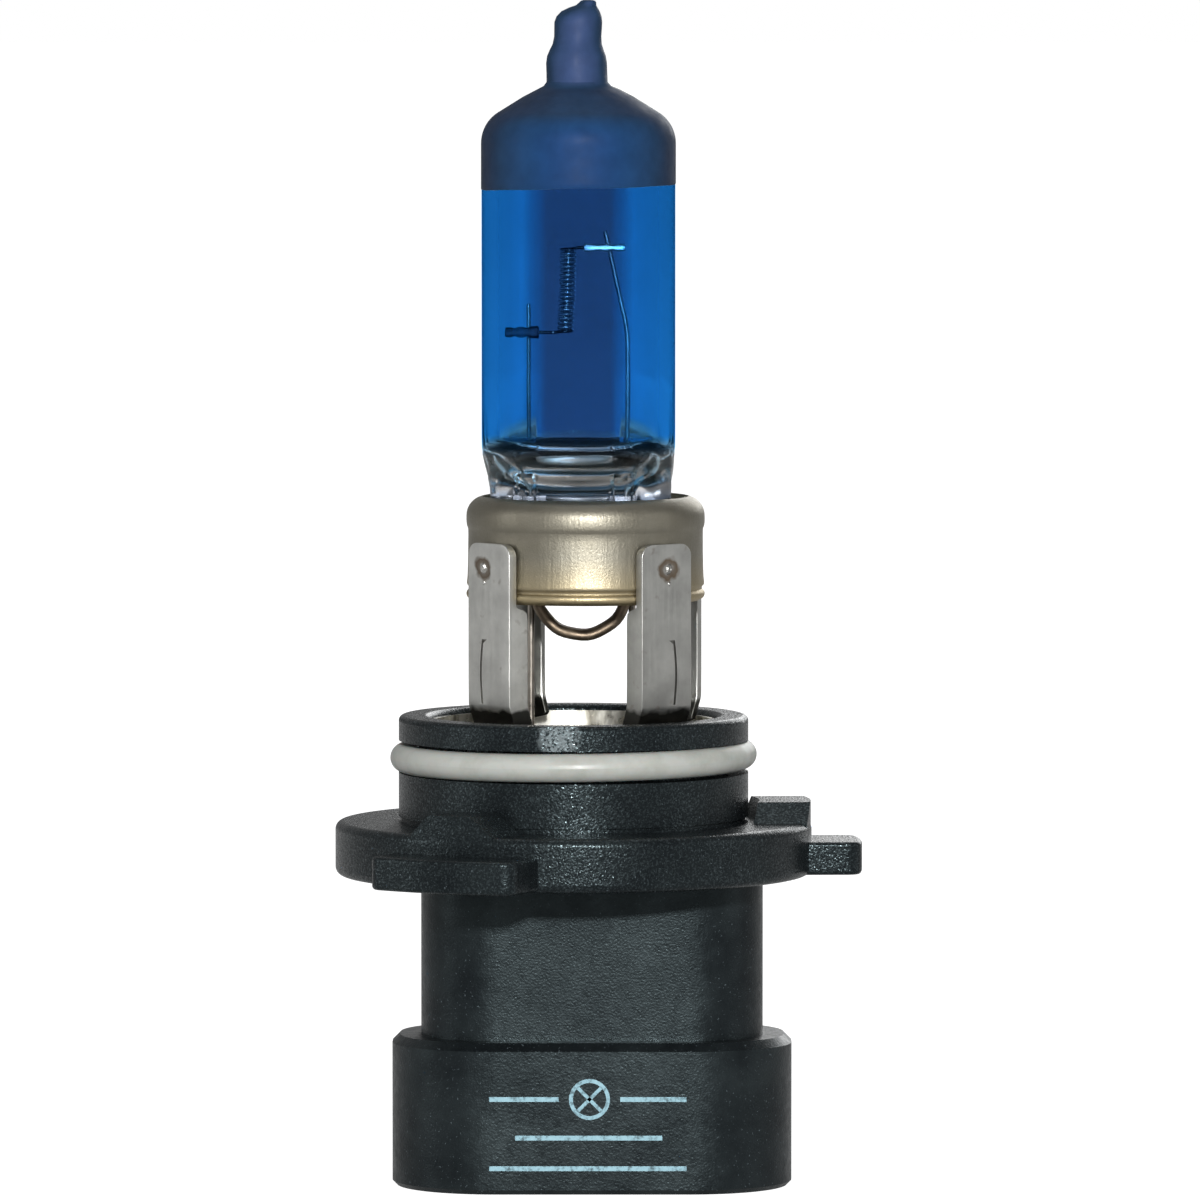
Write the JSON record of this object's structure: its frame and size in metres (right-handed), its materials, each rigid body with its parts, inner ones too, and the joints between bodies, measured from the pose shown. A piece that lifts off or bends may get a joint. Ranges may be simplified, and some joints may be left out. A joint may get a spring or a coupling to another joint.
{
  "type": "headlight bulb",
  "caption": "Halogen headlight bulb: blue glass capsule with a dark tip, metal ferrule on legs, plastic collar with seal, lugs and a straight plug socket.",
  "frame": {"origin": "on the axis of the 22 mm pilot collar, at the height of the three seat pads (the lamp's reference plane)", "axes": "+Z along the collar's axis to the tip of the glass; the flat front of the plug faces -Y; +X to the right of it"},
  "size_m": [0.0328, 0.0341, 0.0737],
  "materials": {
    "housing_plastic": "fine moulded grain with small bright glass-fibre specks",
    "seal_silicone": "matte light grey silicone",
    "potting_resin": "cast resin",
    "blade_tin": "tin plated",
    "cup_steel": "bright drawn steel",
    "ferrule_nickel": "satin nickel plate",
    "leg_steel": "satin stamped steel",
    "plate_steel": "stamped steel",
    "bow_steel": "heat-browned steel",
    "quartz_glass": "clear quartz",
    "blackout_paint": "satin opaque heat-proof paint",
    "blue_filter": "blue interference filter",
    "tungsten": "drawn tungsten",
    "molybdenum": "drawn molybdenum",
    "lead_nickel": "nickel wire"
  },
  "bodies": {
    "root": {"base_housing": "housing_plastic", "seal_ring": "seal_silicone", "potting_seal": "potting_resin", "left_terminal_blade": "blade_tin", "right_terminal_blade": "blade_tin", "support_cup": "cup_steel", "support_leg_1": "leg_steel", "support_leg_2": "leg_steel", "support_leg_3": "leg_steel", "support_leg_4": "leg_steel", "capsule_ferrule": "ferrule_nickel", "lower_retainer_plate": "plate_steel", "upper_retainer_plate": "plate_steel", "retainer_bow": "bow_steel", "glass_envelope": "quartz_glass", "blackout_coating": "blackout_paint", "blue_filter_coating": "blue_filter", "filament": "tungsten", "upper_filament_clamp": "molybdenum", "lower_filament_clamp": "molybdenum", "short_lead_in_wire": "molybdenum", "long_lead_in_wire": "molybdenum", "left_foil": "molybdenum", "right_foil": "molybdenum", "left_outer_lead": "lead_nickel", "right_outer_lead": "lead_nickel"}
  },
  "joints": []
}
